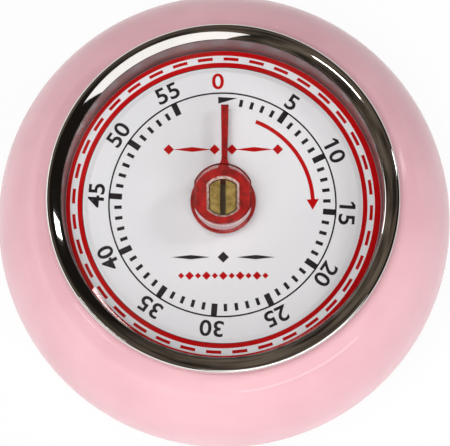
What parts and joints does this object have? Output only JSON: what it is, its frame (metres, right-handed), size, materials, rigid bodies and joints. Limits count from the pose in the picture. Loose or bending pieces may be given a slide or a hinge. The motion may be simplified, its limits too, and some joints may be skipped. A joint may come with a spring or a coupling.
{
  "type": "mechanical kitchen timer",
  "caption": "Round wind-up kitchen timer in a bun-shaped painted steel case, with a chrome setting ring, domed clear lens, white dial, red hand, spring movement and bell",
  "frame": {"origin": "centre of the back's resting plane", "axes": "+Z is the dial's axis, out of the dial; +Y points from the centre to the 0 mark"},
  "size_m": [0.075, 0.075, 0.0392],
  "materials": {
    "case_paint": "gloss pink stove enamel",
    "chrome": "bright chrome plate",
    "lens_clear": "clear moulded plastic",
    "dial_enamel": "white dial enamel with printed marks",
    "hand_red": "moulded red plastic",
    "brass": "stamped and turned brass",
    "steel": "stamped and turned steel",
    "screw_steel": "zinc plated screws",
    "spring_steel": "blued spring strip",
    "cover_plastic": "moulded black plastic",
    "ferrite": "ground ferrite magnet"
  },
  "bodies": {
    "case": {"case_shell": "case_paint", "back_cover": "cover_plastic", "magnets": "ferrite", "cover_screws": "screw_steel", "cover_posts": "steel", "dial_plate": "dial_enamel", "front_plate": "brass", "back_plate": "brass", "pillars": "steel", "pillar_screws": "screw_steel", "movement_spacers": "steel", "movement_screws": "screw_steel", "front_bush": "brass", "mainspring": "spring_steel", "spring_post": "steel", "stop_pin": "steel", "bell": "steel", "bell_post": "steel", "bell_screw": "screw_steel"},
    "setting": {"setting_ring": "chrome", "lens": "lens_clear", "hand": "hand_red", "main_arbor": "brass", "stop_cam": "steel", "main_wheel": "brass", "ratchet_wheel": "steel", "click": "steel", "click_rivet": "steel", "click_spring": "spring_steel"},
    "second": {"second_arbor": "steel", "second_wheel": "brass"},
    "third": {"third_arbor": "steel", "third_wheel": "brass", "strike_star": "steel"},
    "escape": {"escape_arbor": "steel", "escape_wheel": "brass"},
    "rocker": {"anchor_arbor": "steel", "anchor": "steel", "pallet_pins": "steel", "balance_bar": "steel"},
    "hammer": {"hammer_arbor": "steel", "hammer_arm": "steel", "hammer_head": "brass", "hammer_tail": "steel", "hammer_finger": "steel"}
  },
  "joints": [
    {"name": "setting_turn", "type": "hinge", "parent": "case", "child": "setting", "pos_m": [0, 0, 0.018], "axis": [0, 0, -1], "range_deg": [0, 336], "stiffness_Nm_per_rad": 0.004, "springref_deg": -85.94},
    {"name": "second_turn", "type": "hinge", "parent": "case", "child": "second", "pos_m": [-0.01316, -0.00479, 0.018], "axis": [0, 0, -1], "range_deg": [-2017, 1]},
    {"name": "third_turn", "type": "hinge", "parent": "case", "child": "third", "pos_m": [-0.00627, -0.01271, 0.018], "axis": [0, 0, -1], "range_deg": [-1, 12097]},
    {"name": "escape_turn", "type": "hinge", "parent": "case", "child": "escape", "pos_m": [0.00137, -0.01748, 0.018], "axis": [0, 0, -1], "range_deg": [-60481, 1]},
    {"name": "anchor_rock", "type": "hinge", "parent": "case", "child": "rocker", "pos_m": [0.00721, -0.01591, 0.018], "axis": [0, 0, 1], "range_deg": [-6, 6]},
    {"name": "hammer_swing", "type": "hinge", "parent": "case", "child": "hammer", "pos_m": [-0.01469, -0.01629, 0.018], "axis": [0, 0, -1], "range_deg": [-0.8, 8], "stiffness_Nm_per_rad": 0.001}
  ],
  "couplings": [
    {"joint": "second_turn", "follows": "setting_turn", "ratio": -6},
    {"joint": "third_turn", "follows": "setting_turn", "ratio": 36},
    {"joint": "escape_turn", "follows": "setting_turn", "ratio": -180}
  ]
}
